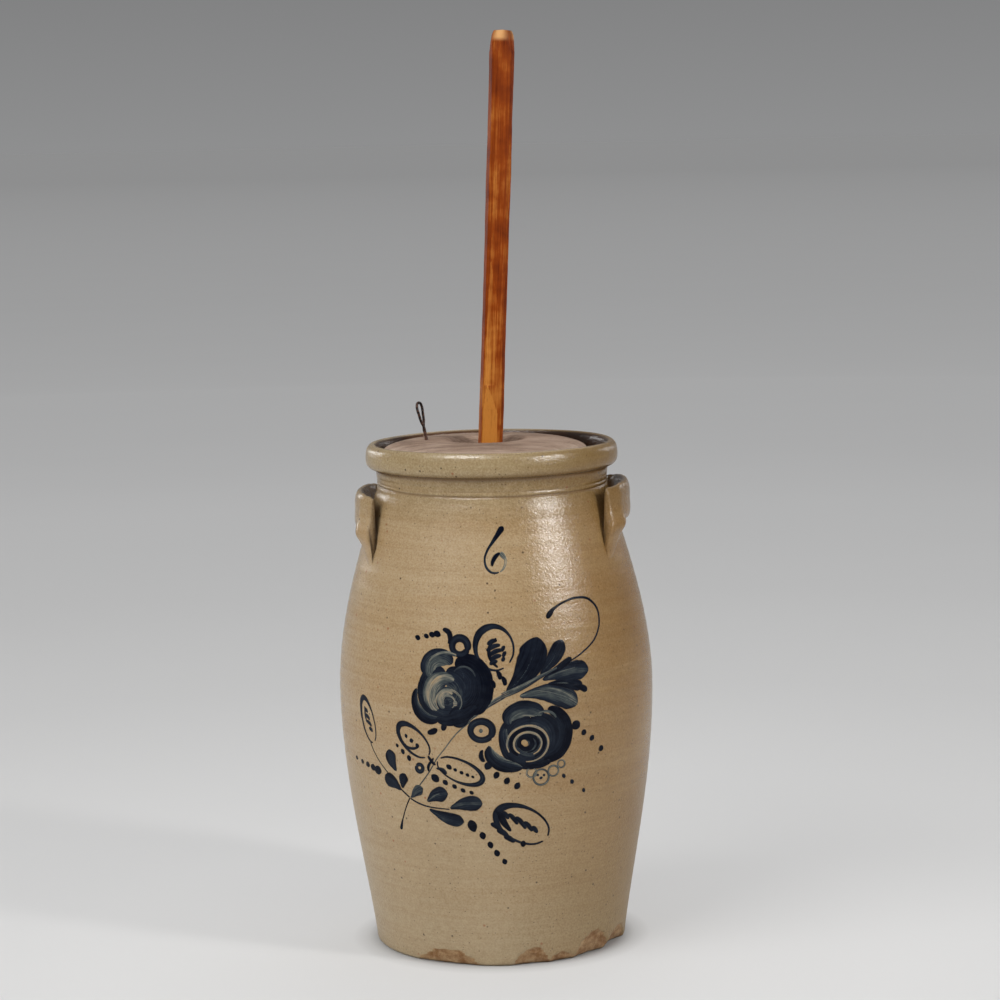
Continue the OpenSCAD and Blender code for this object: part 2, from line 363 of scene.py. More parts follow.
def wall_radius(z):
    """Radius of the thrown wall at height z, the same formula as the CAD profile."""
    z = np.asarray(z, float)
    low = FOOT_R + (BELLY_R - FOOT_R) * np.sin(TURN / 4 * np.clip(z / BELLY_Z, 0, 1) ** LOWER_FULLNESS)
    t = np.clip((z - BELLY_Z) / (COLLAR_Z - BELLY_Z), 0, 1)
    high = BELLY_R - (BELLY_R - NECK_EDGE_R) * (1 - (1 - t**SHOULDER_RISE) ** SHOULDER_TURN)
    radius = np.where(z <= BELLY_Z, low, high)
    neck = smooth((z - COLLAR_Z + 14) / 18)
    return radius + (NECK_R - radius) * neck


def incised(z, middle, width, depth):
    return -depth * np.exp(-((z - middle) / width) ** 2)


def ring_drift(azimuth):
    """How far the scored neck ring climbs on its way round."""
    return 2.2 * (1 - np.cos(azimuth - 0.25))


def wall_detail(azimuth, z):
    """What the potter's hands left on the wall: spiral rings, a little warp and three scored lines."""
    spiral = azimuth / TURN
    wander = ring_wander(azimuth, z)
    coarse = np.sin(TURN * (z / 13.1 + spiral) + 1.3 * wander)
    fine = np.sin(TURN * (z / 6.1 + 2 * spiral) + 1.6 * wander)
    upper = 0.45 + 0.55 * smooth((z - 120) / 180)
    rings = -(0.07 * (1 + coarse) + 0.04 * (1 + fine)) * upper
    warp = -0.35 * (1 - np.cos(2 * (azimuth - 0.7)))
    drift = ring_drift(azimuth)
    scored = incised(z, COLLAR_Z - 1 + drift, 0.9, 1.25) + incised(z, COLLAR_Z + 3.6 + 0.3 * drift, 0.7, 0.55)
    scored = scored + incised(z, COLLAR_Z - 22 + 0.5 * drift, 0.8, 0.35)
    return rings + warp + scored


def chip_depth(azimuth, z):
    """How deep the foot's edge is broken away, and how surely a point lies in a break."""
    depth = np.zeros(np.broadcast(azimuth, z).shape)
    inside = np.zeros_like(depth)
    for middle, half, tall, deep in CHIPS:
        off = (azimuth - math.radians(middle) + math.pi) % TURN - math.pi
        top = tall * (1 - (off / math.radians(half)) ** 2) + 1.6 * chip_edge(azimuth, z)
        share = np.clip((top - z) / tall, 0, 1) * (np.abs(off) < 1.5 * math.radians(half))
        cut = deep * (0.22 * smooth(share * 9) + 0.78 * share**1.2)
        depth = np.maximum(depth, cut + 0.35 * chip_rough(azimuth, z) * smooth(share * 8))
        inside = np.maximum(inside, smooth(share * 12))
    return np.maximum(depth, 0), inside


def crock_radius(azimuth, z):
    """Radius of the crock's outer surface."""
    return wall_radius(z) + wall_detail(azimuth, z)


def on_crock(arc, z, lift):
    """A point over the outer surface. arc is the distance round the wall from the painted front."""
    azimuth = arc / wall_radius(z)
    radius = crock_radius(azimuth, z) + lift
    return np.stack([radius * np.sin(azimuth), -radius * np.cos(azimuth), z + 0 * radius], axis=-1)


def crock_piece(material):
    columns = 336
    azimuth = np.linspace(0, TURN, columns, endpoint=False)
    foot_rows = np.arange(0.0, 22.0, 1.1)
    wall_rows = np.arange(22.0, COLLAR_Z - 6, 2.55)
    collar_rows = np.arange(COLLAR_Z - 6, COLLAR_Z + 9, 0.65)
    outer = np.concatenate([foot_rows, wall_rows, collar_rows])
    rim = catmull([(NECK_R, 451.5), (NECK_R + 0.3, 455.5), (NECK_R + 2.2, 458.6), (RIM_R - 3.4, 460.2),
                   (RIM_R - 0.7, 463.6),
                   (RIM_R, 468.5), (RIM_R - 0.2, 474.0), (RIM_R - 1.4, 479.0), (RIM_R - 4.0, 482.2),
                   (RIM_R - 6.6, 483.0), (RIM_R - 9.2, 481.9), (SEAT_R + 0.6, 478.6), (SEAT_R, 473.5),
                   (SEAT_R - 0.2, 468.6), (SEAT_R - 2.2, SEAT_Z), (SEAT_R - 9, SEAT_Z - 0.3),
                   (THROAT_R + 2.5, SEAT_Z - 0.5),
                   (THROAT_R + 0.2, SEAT_Z - 2.5), (THROAT_R, SEAT_Z - 8), (THROAT_R + 2.6, SEAT_Z - 14)], 58)
    inner_z = np.concatenate([np.arange(444.0, FLOOR_T + 20, -8.5), [30.0, 24.0, 19.5, 16.5, 14.8]])
    inner_r = wall_radius(inner_z) - WALL
    fillet = np.clip((30.0 - inner_z) / 16, 0, 1)
    inner_r = inner_r - 16 * (1 - np.sqrt(1 - fillet**2))
    inner_r = np.where(inner_z > 434, inner_r - 6 * smooth((inner_z - 434) / 12), inner_r)

    rows, slip, chip, line = [], [], [], []

    def add_row(radius, z, slip_here=0.0, chip_here=0.0, crease_shade_here=0.0):
        rows.append(np.stack([radius * np.sin(azimuth), -radius * np.cos(azimuth), z + 0 * radius], axis=-1))
        for store, value in ((slip, slip_here), (chip, chip_here), (line, crease_shade_here)):
            store.append(np.broadcast_to(value, azimuth.shape))

    for share in (0.0, 0.35, 0.7, 0.9):
        add_row(share * (FOOT_R - 4) + 0 * azimuth, 0.0 * azimuth + 0.35 * (share < 0.8), chip_here=0.8)
    for z in outer:
        depth, inside = chip_depth(azimuth, z)
        edge = 2.6 * max(0.0, 1 - z / 3.2) ** 2
        # Painted shade in the groove of the scored neck ring.
        neck_groove_shade = 0.55 * np.exp(-((z - COLLAR_Z + 1 - ring_drift(azimuth)) / 1.0) ** 2)
        add_row(crock_radius(azimuth, z) - depth - edge, z + 0 * azimuth, chip_here=inside,
                crease_shade_here=neck_groove_shade)
    wave = noise_field(14, 8, (5, 400.0))
    for i, (radius, z) in enumerate(rim):
        # Painted shade in the undercut below the rim band.
        under = math.exp(-((z - 458.2) / 2.4) ** 2) * (radius > NECK_R - 1) * (i < 20)
        inside_rim = smooth((SEAT_R + 4.2 - radius) / 3.0) * (i > 20)
        sway = 0.45 * wave(azimuth, z) * min(1.0, i / 8)
        drop = -0.5 - 0.5 * wave(azimuth + 1.0, 0.0)
        add_row(radius + sway - 0.2, z + drop * smooth(i / 14.0) * (z > 470), slip_here=inside_rim,
                crease_shade_here=0.75 * under)
    for radius, z in zip(inner_r, inner_z):
        add_row(radius + wall_detail(azimuth + 2.0, np.minimum(z, 400.0)), z + 0 * azimuth, slip_here=1.0)
    for share in (0.85, 0.6, 0.3, 0.0):
        add_row(share * (inner_r[-1] - 3) + 0 * azimuth, FLOOR_T + 0 * azimuth, slip_here=1.0)
    points = np.concatenate(rows)
    attributes = {"slip": np.concatenate(slip), "chip": np.concatenate(chip), "line": np.concatenate(line)}
    faces = grid_faces(len(rows), columns)
    return mesh_object("churn_crock", points, faces, material, "crock", "crock", attributes)


# ---------------------------------------------------------------- lug handles

LUG_TOP_Z = CROCK_H - 38
LUG_DROP = 6.0
LUG_W = 37.0
LUG_T = 9.5
LUG_HALF = 65.0
LUG_GAP = 11.8
LUG_LEG = 40.0
LUG_SKEW = 0.10
LUG_TURN = math.radians(-3)


def signed_root(x, power):
    return np.sign(x) * np.abs(x) ** power


def lug_piece(name, node, turn, top, seed, material):
    """An upright strap bent round the shoulder, whose ends run down the wall and are smeared into it."""
    rings, sides = 170, 64
    u = np.linspace(-1, 1, rings)[:, None]
    a = np.abs(u)
    turns = np.linspace(0, TURN, sides, endpoint=False)[None, :]
    lumps = noise_field(seed, 10, (2, 1.1))
    high = top - 2.5 * a**6 - 1.0 * smooth((a - 0.55) / 0.3)
    low = top - LUG_W - LUG_LEG * smooth((a - 0.47) / 0.53)
    middle, half = (high + low) / 2, (high - low) / 2 - 0.4 + 0.5 * lumps(turns, u * 3)
    z = middle + half * signed_root(np.cos(turns), 0.75)
    thick = LUG_T / 2 * (1 - 0.12 * a * a - 0.30 * smooth((top - 40 - z) / 45))
    thick = thick * np.sqrt(1 - (np.maximum(0, a - 0.9) / 0.13) ** 2) + 0.3 * lumps(turns * 2 + 1, u * 2)
    share = (z - low) / (high - low)
    hollow = np.exp(-((share - 0.5) / 0.2) ** 2)
    thick = thick * (1 - 0.13 * hollow * (np.sin(turns) > 0) * (1 - smooth((a - 0.3) / 0.3)))
    shelf = 4.2 * np.exp(-((z - top + 37) / 8.5) ** 2) * smooth((a - 0.42) / 0.3) * (np.sin(turns) > 0)
    shelf = shelf - 3.2 * smooth((a - 0.66) / 0.34) * smooth((z - top + 55) / 30)
    radius = NECK_R + LUG_GAP + LUG_T / 2 + 0.04 * (top - z) - 0.08 * np.maximum(0, top - 40 - z) - 0.3
    radius = radius + thick * signed_root(np.sin(turns), 0.8) + shelf
    angle = u * LUG_HALF / 120 * (1 - LUG_SKEW * smooth((z - top + 47) / 22) * a**1.5) + turn
    points = np.stack([radius * np.cos(angle), radius * np.sin(angle), z], axis=-1).reshape(-1, 3)
    faces = grid_faces(rings, sides)
    faces.append(list(range(sides))[::-1])
    faces.append([(rings - 1) * sides + i for i in range(sides)])
    zero = np.zeros(len(points))
    # Painted shade on the strap's inner face, towards the wall.
    inner_face_shade = (0.55 * smooth(-np.sin(turns) * 1.6) + 0 * z).reshape(-1)
    return mesh_object(name, points, faces, material, "crock", node,
                       {"slip": zero, "chip": zero, "line": inner_face_shade})


# ---------------------------------------------------------------- cobalt brushwork

class Brushwork:
    """Collects painted strokes, each a thin closed skin laid on the crock, into one piece."""

    LIFT = 0.10
    DOME = 0.025
    SINK = 0.45
    count = 0

    def __init__(self, name, layer=0.004):
        self.name, self.layer, self.strokes, self.hem = name, layer, 0, 0.35
        self.points, self.faces = [], []
        self.values = {"load": [], "along": [], "across": [], "stroke": [], "cover": []}
        self.size = 0

    def stroke(self, controls, load=(0.9, 0.9), start=1.0, end=1.0, pitch=1.0, ragged=0.04, fade=0.0):
        """controls are (arc, height, half width). load is the slip's density from the left edge to the right.
        start and end round the tips by that share of the width. fade thins the slip towards the end."""
        line = catmull(controls, 12 * len(controls))
        length = np.concatenate([[0], np.cumsum(np.linalg.norm(np.diff(line[:, :2], axis=0), axis=1))])
        count = max(8, int(length[-1] / pitch))
        at = np.linspace(0, length[-1], count)
        arc, z, half = (np.interp(at, length, line[:, i]) for i in range(3))
        half = np.maximum(half, 0.15) + 0.25
        tip_a, tip_b = max(half[: count // 3].max() * start, 0.3), max(half[-count // 3:].max() * end, 0.3)
        round_a = np.sqrt(np.clip(1 - (1 - np.clip(at / tip_a, 0, 1)) ** 2, 0.002, 1)) if start else 1.0
        round_b = np.sqrt(np.clip(1 - (1 - np.clip((at[-1] - at) / tip_b, 0, 1)) ** 2, 0.002,
                                  1)) if end else 1.0
        half = half * round_a * round_b
        tangent = unit(np.stack([np.gradient(arc), np.gradient(z)], axis=-1))
        normal = np.stack([-tangent[:, 1], tangent[:, 0]], axis=-1)
        columns = int(np.clip(half.max() * 1.1, 2, 12)) * 2 + 3
        c = np.linspace(-1, 1, columns)
        c = np.sign(c) * np.abs(c) ** 0.8
        wobble = noise_field(int(rng.integers(1 << 30)), 8, (1, 14.0))
        edge = 1 + ragged * wobble(np.sign(c)[None, :] * 1.7, at[:, None]) * np.abs(c)[None, :]
        reach = half[:, None] * c[None, :] * edge
        flat_arc = arc[:, None] + normal[:, 0:1] * reach
        flat_z = z[:, None] + normal[:, 1:2] * reach
        Brushwork.count += 1
        self.strokes += 1
        level = self.LIFT + self.layer * self.strokes
        rim = np.abs(c) > 0.985
        lift = np.where(rim[None, :], -0.05,
                        level + self.DOME * (1 - c[None, :] ** 2) * np.minimum(1, half[:, None] / 2))
        lift[0, :] = lift[-1, :] = -0.05
        top = on_crock(flat_arc, flat_z, lift)
        under = on_crock(flat_arc, flat_z, 0 * lift - self.SINK)
        share = (c[None, :] + 1) / 2 + 0 * lift
        density = np.interp(share, np.linspace(0, 1, len(load)), load)
        density = density - fade * (at / at[-1])[:, None]
        cover = np.where(rim[None, :], self.hem, 1.0) + 0 * lift
        rows = count
        self.points += [top.reshape(-1, 3), under.reshape(-1, 3)]
        self.faces += grid_faces(rows, columns, wrap=False, start=self.size)
        low = self.size + rows * columns
        self.faces += grid_faces(rows, columns, wrap=False, start=low)
        border = [(0, k) for k in range(columns)] + [(r, columns - 1) for r in range(1, rows)]
        border += [(rows - 1, k) for k in range(columns - 2, -1, -1)] + [(r, 0) for r in range(rows - 2, 0,
                -1)]
        index = [r * columns + k for r, k in border]
        for a, b in zip(index, index[1:] + index[:1]):
            self.faces.append([self.size + a, self.size + b, low + b, low + a])
        self.size += 2 * rows * columns
        for key, value in (("load", density), ("along", at[:, None] + 0 * lift), ("across", reach),
                           ("stroke", 0 * lift + Brushwork.count * 5.3), ("cover", cover)):
            self.values[key] += [value.reshape(-1), value.reshape(-1)]

    def dot(self, arc, z, radius, load=0.95, angle=0.0, stretch=0.35):
        """A touch of the brush's tip: a short stroke, a little longer than wide."""
        radius = radius * 1.42
        run = radius * (1 + stretch)
        da, dz = math.cos(angle) * run * 0.55, math.sin(angle) * run * 0.55
        ends = [(arc - da, z - dz, radius * 0.9), (arc, z, radius), (arc + da, z + dz, radius * 0.85)]
        self.stroke(ends, (load, load), pitch=0.5, ragged=0.10)

    def arc_stroke(self, centre, radius, from_deg, to_deg, widths, load, tilt=0.0, **options):
        """A stroke along an ellipse's arc. radius is (arc, height), and widths are half widths along it."""
        steps = max(len(widths), 3 + int(abs(to_deg - from_deg) / 30))
        t = np.linspace(0, 1, steps)
        angle = np.radians(from_deg + (to_deg - from_deg) * t)
        half = np.interp(t, np.linspace(0, 1, len(widths)), widths)
        c, s = math.cos(math.radians(tilt)), math.sin(math.radians(tilt))
        x, y = radius[0] * np.cos(angle), radius[1] * np.sin(angle)
        controls = np.stack([centre[0] + c * x - s * y, centre[1] + s * x + c * y, half], axis=-1)
        self.stroke(controls, load, **options)

    def swirl(self, centre, rings, load, from_deg=205, to_deg=-50):
        """Thin lines round a blossom's eye. rings are (arc radius, height radius, half width)."""
        for i, (rx, ry, half) in enumerate(rings):
            turn = 14 * (-1) ** i
            self.arc_stroke(centre, (rx, ry), from_deg + turn, to_deg + turn,
                            (half * 0.4, half, half * 1.15, half * 0.8, half * 0.3),
                            (load[i % len(load)],) * 2, pitch=0.8, ragged=0.02)

    def ring(self, arc, z, radius, width, load=0.95, squash=1.0):
        """A berry: one turn of the brush, open or nearly so in the middle."""
        lap = rng.uniform(0, 360)
        self.arc_stroke((arc, z), (radius, radius * squash), lap, lap + 376,
                        (width, width * 1.15, width * 0.9, width),
                        (load, load - 0.25, load), pitch=0.7)

    def leaf(self, base, tip, width, load=(0.95, 0.75), bend=0.0, veins=1):
        """A leaf pulled from its stalk outwards, widest past the middle, with pale veins."""
        a, b = np.array(base, float), np.array(tip, float)
        sideways = np.array([-(b - a)[1], (b - a)[0]]) / max(np.linalg.norm(b - a), 1e-6)
        b, width = b + (b - a) * 0.07, width * 1.2
        shape = [(0.0, 0.12), (0.2, 0.42), (0.42, 0.78), (0.66, 1.0), (0.86, 0.93), (1.0, 0.62)]
        line = [a + (b - a) * t + sideways * bend * math.sin(math.pi * t) for t, _ in shape]
        self.stroke([(*p, width * w) for p, (_, w) in zip(line, shape)], load, start=0.5, end=1.0)
        for k in range(veins):
            off = width * 0.42 * (k - (veins - 1) / 2)
            thread = [a + (b - a) * t + sideways * (bend * math.sin(math.pi * t) + off * t) for t in (0.1,
                    0.4, 0.72)]
            self.stroke([(*thread[0], 0.35), (*thread[1], 0.45), (*thread[2], 0.2)], (0.50, 0.50), pitch=1.2,
                        ragged=0.0)

    def loop(self, centre, radius, tilt, heavy, widths=(0.45, 0.7, 2.3, 0.9, 0.45), load=0.95):
        """A looped bud's outline: one turn of a loaded brush, pressed where heavy points, in degrees."""
        widths = tuple(1.25 * w for w in widths)
        self.arc_stroke(centre, radius, heavy - 172, heavy + 168, widths, (load, load - 0.2, load - 0.05),
                        tilt=tilt, pitch=0.8,
                        ragged=0.05)

    def comb(self, places, run, angle, half, load=0.92):
        """Short curved touches side by side, at (arc, height, scale)."""
        for arc, z, scale in places:
            da = math.cos(math.radians(angle)) * run * scale / 2
            dz = math.sin(math.radians(angle)) * run * scale / 2
            bow = 0.18 * run * scale
            self.stroke([(arc - da, z - dz, half), (arc, z + bow * 0.5, half * 1.6),
                         (arc + da, z + dz, half * 0.9)],
                        (load, load - 0.15), pitch=0.6)

    def piece(self, material):
        values = {key: np.concatenate(rows) for key, rows in self.values.items()}
        return mesh_object(self.name, np.concatenate(self.points), self.faces, material, "crock",
                           attributes=values)


def paint_numeral(material):
    """The capacity in gallons: a brushed 6, loaded at the top and nearly dry at the foot."""
    work = Brushwork("cobalt_numeral", 0.02)
    work.stroke([(5.5, 374.4, 0.4), (9.2, 378.2, 0.9), (11.0, 384.0, 1.2), (9.4, 389.6, 1.3),
                 (6.4, 392.4, 1.0)], (0.26, 0.34),
                pitch=0.7)
    work.stroke([(9.3, 415.4, 2.0), (7.4, 412.6, 2.9), (3.2, 406.8, 2.1), (-1.4, 400.4, 1.3),
                 (-5.6, 394.2, 0.95), (-8.2, 387.0, 0.85),
                 (-7.2, 379.6, 0.95), (-3.0, 374.8, 0.95), (1.6, 373.8, 0.8), (5.0, 374.6, 0.35)],
                (1.05, 1.0), pitch=0.7, fade=0.42)
    work.stroke([(5.2, 391.4, 1.3), (7.6, 389.6, 1.7), (10.6, 385.6, 1.1)], (0.30, 0.52), pitch=0.6)
    work.stroke([(-1.6, 379.4, 0.7), (-1.0, 383.6, 1.8), (1.8, 388.4, 2.1), (6.0, 392.0, 1.0)], (0.98, 0.9),
                pitch=0.6)
    return work.piece(material)


def paint_blossoms(material):
    """Two round blossoms, each built of wide curved strokes that are dark outside and pale inside."""
    work = Brushwork("cobalt_blossoms", 0.018)
    work.hem = 0.85
    work.arc_stroke((-47, 266), (14, 14), 96, -276, (14, 15.5, 15.5, 15, 14), (0.52, 0.66, 0.88))
    work.arc_stroke((-52, 286), (13, 12), 215, 30, (5, 8, 8.5, 8, 5), (0.46, 0.52, 0.9))
    work.arc_stroke((-31, 272), (15, 20), 118, -96, (7, 12, 14, 13.5, 8), (0.70, 0.88, 1.0, 0.98))
    work.arc_stroke((-46, 262), (16, 17), 232, 62, (3, 7, 9.5, 9, 6, 3), (0.66, 0.36, 0.24, 0.52))
    work.arc_stroke((-46, 259), (7.5, 8.5), 250, 40, (2, 4, 5, 4, 2), (0.30, 0.24, 0.70))
    work.arc_stroke((-61, 259), (18.5, 19), 150, 292, (1.6, 3.8, 5.4, 5.2, 2.4), (1.0, 0.9, 0.42))
    work.stroke([(-58, 241, 3.0), (-46, 240, 5.2), (-30, 245, 6.0), (-18, 254, 3.5)], (0.98, 0.8), pitch=0.9)
    work.arc_stroke((-46, 285), (20, 17), 150, 60, (0.8, 1.6, 2.0, 1.0), (0.62, 0.22), ragged=0.02)
    work.swirl((-45, 257), [(12.5, 11.6, 0.8), (6.4, 6.0, 0.7)], (0.34, 0.26))
    work.dot(-38.5, 256, 2.1, 0.22)
    work.dot(-46.0, 257, 2.0, 0.72)
    work.arc_stroke((-30, 276), (12, 14), 140, 20, (0.4, 0.8, 0.9, 0.4), (0.56, 0.64), ragged=0.02)

    work.arc_stroke((31, 222), (15.5, 14.5), 96, -276, (13, 14.5, 15, 14.5, 13), (0.52, 0.66, 0.92))
    work.arc_stroke((27, 240), (17, 10.5), 205, 20, (3, 6.5, 8, 7, 4), (0.34, 0.62, 0.96))
    work.arc_stroke((43, 226), (22, 24), 78, -92, (4, 6.5, 7.5, 6.5, 3.5), (0.72, 1.0, 0.98))
    work.arc_stroke((20, 226), (14, 15), 150, 262, (2, 4.2, 4.6, 2.4), (0.92, 0.34), ragged=0.03)
    work.swirl((28, 217.5), [(15.8, 13.6, 2.4), (19.5, 17.0, 1.1), (13.0, 11.0, 1.1), (9.4, 8.0, 1.5)],
               (0.98, 0.20, 0.15, 0.97),
               222, -84)
    work.arc_stroke((26.5, 218), (5.6, 5.2), 100, 470, (2.0, 2.8, 2.0), (0.98, 1.0), pitch=0.6)
    work.dot(25.0, 218.4, 3.4, 0.02, 0.8, 0.15)
    work.arc_stroke((44, 238), (12, 9), 120, 10, (0.5, 1.1, 1.2, 0.5), (0.40, 0.52), ragged=0.02)
    work.stroke([(-8, 217, 2.2), (-6.5, 208, 5.6), (1.5, 200, 6.6), (12, 196.5, 5.4), (23, 194.6, 2.4)],
                (1.0, 0.86, 0.34))
    work.stroke([(24, 199, 1.8), (36, 196.5, 3.2), (50, 200, 2.2)], (0.95, 0.85))
    return work.piece(material)


def paint_leaves(material):
    """The fan of leaves over the blossoms, and the paired leaves of the lower sprig."""
    work = Brushwork("cobalt_leaves", 0.016)
    work.leaf((21, 262), (74, 251), 8.6, (0.95, 0.50, 0.40, 0.80), bend=7.5, veins=3)
    work.leaf((48, 272), (82, 266), 4.6, (0.92, 0.86), bend=2.5)
    work.leaf((72, 268), (88, 262), 2.6, (0.96, 0.9), bend=1.5, veins=0)
    work.leaf((43, 276), (88, 281), 7.6, (0.84, 0.55, 0.92), bend=3.0, veins=3)
    work.leaf((45, 280), (71, 293), 2.8, (0.96, 0.92), bend=-1.0, veins=0)
    work.leaf((41, 281), (62, 309), 6.4, (0.90, 0.80, 0.95), bend=-2.0)
    work.leaf((9, 266), (37, 312), 11.6, (0.97, 0.90, 0.86, 0.95), bend=-6.0, veins=1)
    for side in (-1.4, 0.0, 1.5, 3.0):
        work.stroke([(4, 262 + side, 0.3), (22, 269 + side, 0.6), (44, 280 + 0.6 * side, 0.4),
                     (58, 286 + 0.3 * side, 0.2)],
                    (0.62 - 0.1 * side, 0.5), ragged=0.02)
    work.leaf((-103, 187), (-111, 206), 5.6, (0.92, 0.66, 0.95), bend=1.5)
    work.leaf((-98, 169), (-118, 178.5), 5.8, (0.95, 0.72), bend=-2.0)
    work.leaf((-96, 171), (-93, 185), 4.6, (0.95, 0.78), bend=1.0)
    work.leaf((-86, 163), (-74, 173), 4.4, (0.66, 0.50), bend=1.5)
    work.leaf((-69, 161), (-49, 169.5), 6.2, (0.95, 0.62, 0.85), bend=2.5, veins=2)
    work.leaf((-46, 156), (-17, 161), 6.2, (0.95, 0.58, 0.72), bend=2.5, veins=2)
    work.leaf((-67, 154), (-35, 144), 5.2, (0.60, 0.72, 0.94), bend=-1.5, veins=1)
    return work.piece(material)


def paint_lines(material):
    """Tendril, stems and looped buds, drawn with the brush's tip."""
    work = Brushwork("cobalt_lines")
    work.stroke([(48.5, 331, 2.2), (52, 335.5, 2.8), (56, 339.5, 1.4), (65, 344, 0.9), (78, 347, 0.95),
                 (93, 345, 1.0), (104, 335, 0.95),
                 (106, 321, 0.9), (99, 307.5, 0.8), (84, 297, 0.65), (68, 289.5, 0.5), (52, 283.5, 0.35)],
                (0.98, 0.98), pitch=1.2,
                fade=0.25)
    for side in (-1.2, 0.6, 2.2):
        work.stroke([(8, 263 + side, 0.5), (-8, 254 + side, 0.65), (-22, 243.5 + 0.7 * side, 0.4),
                     (-32, 235, 0.25)],
                    (0.50 - 0.1 * side, 0.4), ragged=0.03)
    work.stroke([(-24, 240, 0.4), (-38, 228, 0.4), (-50, 213, 0.35), (-58, 203, 0.35), (-66, 190, 0.4),
                 (-76, 177, 0.45),
                 (-87.5, 162.7, 0.6)], (0.52, 0.46), ragged=0.03)
    work.stroke([(-88, 163, 0.6), (-93, 153, 0.5), (-97.5, 141, 0.6), (-99.5, 134, 1.6),
                 (-100.5, 129.5, 1.9)], (0.92, 0.92))
    work.stroke([(-88, 162.5, 0.7), (-78, 158.5, 0.7), (-66, 156, 0.6), (-46, 155, 0.4)], (0.85, 0.8),
                ragged=0.03)
    work.stroke([(-88, 163, 0.7), (-98, 170, 0.7), (-110, 180.5, 0.55), (-124, 192, 0.45), (-134, 203, 0.45),
                 (-139, 212, 0.5)],
                (0.86, 0.8), ragged=0.03)

    work.loop((-1, 306.5), (17.5, 20), 12, 118, (0.5, 0.8, 3.0, 1.1, 0.45))
    work.comb([(-3, 312, 1.1), (-2, 307, 1.5), (0, 302.5, 1.6), (0, 298, 1.25), (-2, 293.5, 0.9)], 9.5, 22,
              1.5)
    work.stroke([(2, 289, 0.8), (-3, 294, 1.5), (-6, 301, 1.8), (-5, 309, 1.5), (1, 316, 0.7)], (0.96, 0.9),
                pitch=0.7)
    work.comb([(7, 306, 1.0), (8, 301, 1.0), (7, 296.5, 0.8)], 6.5, 60, 1.2)
    for x, z in ((2.5, 280.5), (7, 275), (-3.5, 272.5)):
        work.arc_stroke((x - 6, z - 1), (7, 8), -12, 62, (2.0, 2.4, 0.9), (0.96, 0.9), pitch=0.6)

    work.loop((-141, 231), (9.5, 22), 20, 98, (0.4, 0.55, 2.5, 0.9, 0.4))
    work.comb([(-144, 240, 0.9), (-142, 234, 1.2), (-139.5, 228, 1.2), (-137, 222.5, 0.9)], 8, -28, 1.2, 0.85)
    work.stroke([(-146, 244, 0.8), (-145.5, 236, 1.3), (-143, 228, 0.6)], (0.9, 0.8), pitch=0.7)

    work.loop((-82, 218.5), (20.5, 11), -39, 172, (0.45, 0.8, 2.6, 1.2, 0.45))
    work.comb([(-90, 222, 0.6), (-84, 218, 0.8), (-78, 214, 0.7)], 6, 20, 1.5)
    work.arc_stroke((-84, 216), (8, 5), 190, 350, (0.5, 1.4, 0.9), (0.9, 0.8), pitch=0.7)
    work.stroke([(-67, 205.5, 1.1), (-63, 200, 1.6), (-59, 197, 0.8)], (0.95, 0.9), pitch=0.7)
    work.stroke([(-61, 204, 0.5), (-66.5, 196, 1.5), (-66.5, 190, 0.8)], (0.95, 0.9), pitch=0.7)

    work.loop((-36, 192.5), (23, 10.5), -22, -8, (0.4, 0.6, 2.2, 1.0, 0.45))
    for arc, z, half in ((-46, 196, 2.3), (-40, 193.5, 1.6), (-34, 191, 1.7), (-28.5, 189, 1.6),
                         (-23.5, 187.2, 1.3)):
        work.dot(arc, z, half, 0.93, 0.9)
    work.arc_stroke((-58, 186), (10, 8), 95, 20, (0.6, 2.2, 1.6), (0.95, 0.7), pitch=0.7)

    work.loop((22, 140), (27, 16.5), -29, 172, (0.5, 0.8, 3.2, 1.0, 0.5))
    work.stroke([(-4, 156, 2.2), (1, 150, 3.4), (5, 142, 3.0), (11, 134, 1.2)], (0.97, 0.92))
    work.comb([(6, 150, 1.0), (13, 146, 1.4), (20, 142, 1.6), (27, 138, 1.3), (33, 134.5, 0.9)], 10, -52, 1.5)
    work.comb([(-3, 139, 1.2), (3, 132.5, 1.3), (9, 126.5, 1.2)], 10, -32, 1.7)
    work.dot(22, 121.5, 2.6, 0.97)

    work.ring(31, 190, 4.6, 0.7, 0.55)
    work.ring(40, 185, 7.4, 0.8, 0.66)
    work.ring(52, 190, 5.0, 0.7, 0.55)
    work.ring(60, 196, 3.6, 0.6, 0.5)
    work.comb([(37, 187, 0.6), (40, 184, 0.8), (43, 186.5, 0.6)], 4.5, 20, 0.8, 0.75)
    return work.piece(material)


